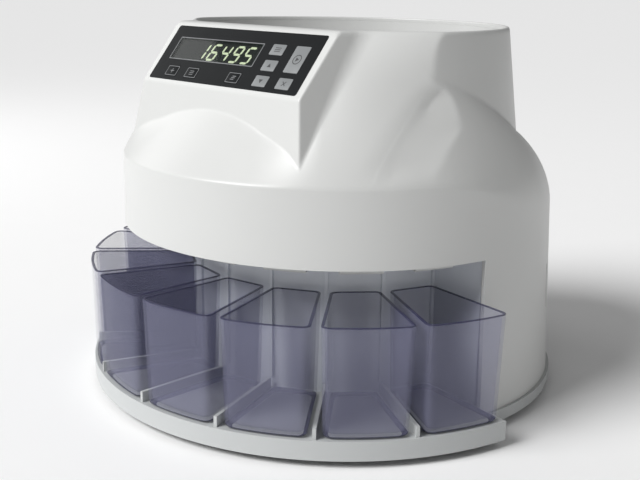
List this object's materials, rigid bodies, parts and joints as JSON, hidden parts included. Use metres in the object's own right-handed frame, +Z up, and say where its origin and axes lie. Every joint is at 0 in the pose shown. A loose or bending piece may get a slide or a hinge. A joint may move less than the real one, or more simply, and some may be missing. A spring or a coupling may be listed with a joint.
{
  "type": "coin sorting machine",
  "caption": "Round desktop machine with a coin hopper on top, a sloping keypad with a display, and a ring of translucent wedge cups that catch the sorted coins below",
  "frame": {"origin": "on the axis of the round body, at table level, in the middle of the centre foot", "axes": "+Z up; the keypad and the cups face -Y; +X is on the right of someone who faces the keypad"},
  "size_m": [0.3504, 0.334, 0.25],
  "materials": {
    "housing": "semi-gloss white moulding",
    "grey": "satin light grey moulding",
    "drum": "semi-gloss pale blue-grey moulding",
    "cup": "clear lavender-grey plastic",
    "black": "satin black",
    "sheet": "smooth printed sheet",
    "key": "satin grey",
    "window": "clear window over a dark display",
    "lcd": "dark display",
    "board": "green circuit board",
    "steel": "brushed",
    "alu": "cast and turned",
    "rubber": "black rubber"
  },
  "bodies": {
    "machine": {"base_pan": "grey", "rubber_feet": "rubber", "core_drum": "drum", "deck_plate": "steel", "chute_ring": "housing", "sizing_rail": "steel", "hopper_bowl": "housing", "coin_deflector": "black", "bearing_block": "alu", "upper_bearing": "steel", "lower_bearing": "steel", "drive_belt": "rubber", "motor": "steel", "motor_bracket": "steel", "main_board": "board", "power_supply": "steel", "rear_panel": "black", "mains_inlet": "black", "switch_body": "black", "data_port": "black", "top_housing": "housing", "panel_overlay": "sheet", "lcd_window": "window", "lcd_module": "lcd", "display_board": "board", "key_switches": "black", "coin_sensor": "board", "housing_screws": "steel", "board_screws": "steel"},
    "disc_rotor": {"sorting_disc": "steel", "disc_pad": "rubber", "hub_cap": "black", "drive_shaft": "steel", "drive_pulley": "black"},
    "motor_rotor": {"motor_pulley": "alu", "motor_shaft": "steel"},
    "menu_button": {"menu_key": "key"},
    "up_button": {"up_key": "key"},
    "down_button": {"down_key": "key"},
    "clear_button": {"clear_key": "key"},
    "start_button": {"start_key": "key"},
    "add_button": {"add_key": "sheet"},
    "print_button": {"print_key": "sheet"},
    "batch_button": {"batch_key": "sheet"},
    "rocker": {"power_rocker": "black"},
    "cup_1": {"coin_cup_1": "cup"},
    "cup_2": {"coin_cup_2": "cup"},
    "cup_3": {"coin_cup_3": "cup"},
    "cup_4": {"coin_cup_4": "cup"},
    "cup_5": {"coin_cup_5": "cup"},
    "cup_6": {"coin_cup_6": "cup"},
    "cup_7": {"coin_cup_7": "cup"},
    "cup_8": {"coin_cup_8": "cup"}
  },
  "joints": [
    {"name": "disc_spin", "type": "hinge", "parent": "machine", "child": "disc_rotor", "pos_m": [0, 0, 0.129], "axis": [0, 0, 1], "continuous": true},
    {"name": "motor_spin", "type": "hinge", "parent": "machine", "child": "motor_rotor", "pos_m": [0, 0.068, 0.06], "axis": [0, 0, 1], "continuous": true},
    {"name": "menu_press", "type": "slide", "parent": "machine", "child": "menu_button", "axis": [0, 0.7727, -0.6347], "range_m": [0, 0.0005], "stiffness_N_per_m": 800, "springref_m": -0.0008},
    {"name": "up_press", "type": "slide", "parent": "machine", "child": "up_button", "axis": [0, 0.7727, -0.6347], "range_m": [0, 0.0005], "stiffness_N_per_m": 800, "springref_m": -0.0008},
    {"name": "down_press", "type": "slide", "parent": "machine", "child": "down_button", "axis": [0, 0.7727, -0.6347], "range_m": [0, 0.0005], "stiffness_N_per_m": 800, "springref_m": -0.0008},
    {"name": "clear_press", "type": "slide", "parent": "machine", "child": "clear_button", "axis": [0, 0.7727, -0.6347], "range_m": [0, 0.0005], "stiffness_N_per_m": 800, "springref_m": -0.0008},
    {"name": "start_press", "type": "slide", "parent": "machine", "child": "start_button", "axis": [0, 0.7727, -0.6347], "range_m": [0, 0.0005], "stiffness_N_per_m": 800, "springref_m": -0.0008},
    {"name": "add_press", "type": "slide", "parent": "machine", "child": "add_button", "axis": [0, 0.7727, -0.6347], "range_m": [0, 0.0005], "stiffness_N_per_m": 800, "springref_m": -0.0008},
    {"name": "print_press", "type": "slide", "parent": "machine", "child": "print_button", "axis": [0, 0.7727, -0.6347], "range_m": [0, 0.0005], "stiffness_N_per_m": 800, "springref_m": -0.0008},
    {"name": "batch_press", "type": "slide", "parent": "machine", "child": "batch_button", "axis": [0, 0.7727, -0.6347], "range_m": [0, 0.0005], "stiffness_N_per_m": 800, "springref_m": -0.0008},
    {"name": "power_rock", "type": "hinge", "parent": "machine", "child": "rocker", "pos_m": [0, 0.135, 0.042], "axis": [1, 0, 0], "range_deg": [-14, 0]},
    {"name": "cup_1_pull", "type": "slide", "parent": "machine", "child": "cup_1", "axis": [-0.944, -0.3299, 0], "range_m": [0, 0.075]},
    {"name": "cup_2_pull", "type": "slide", "parent": "machine", "child": "cup_2", "axis": [-0.7719, -0.6357, 0], "range_m": [0, 0.075]},
    {"name": "cup_3_pull", "type": "slide", "parent": "machine", "child": "cup_3", "axis": [-0.5048, -0.8633, 0], "range_m": [0, 0.075]},
    {"name": "cup_4_pull", "type": "slide", "parent": "machine", "child": "cup_4", "axis": [-0.1755, -0.9845, 0], "range_m": [0, 0.075]},
    {"name": "cup_5_pull", "type": "slide", "parent": "machine", "child": "cup_5", "axis": [0.1755, -0.9845, 0], "range_m": [0, 0.075]},
    {"name": "cup_6_pull", "type": "slide", "parent": "machine", "child": "cup_6", "axis": [0.5048, -0.8633, 0], "range_m": [0, 0.075]},
    {"name": "cup_7_pull", "type": "slide", "parent": "machine", "child": "cup_7", "axis": [0.7719, -0.6357, 0], "range_m": [0, 0.075]},
    {"name": "cup_8_pull", "type": "slide", "parent": "machine", "child": "cup_8", "axis": [0.944, -0.3299, 0], "range_m": [0, 0.075]}
  ],
  "couplings": [
    {"joint": "motor_spin", "follows": "disc_spin", "ratio": 4}
  ]
}
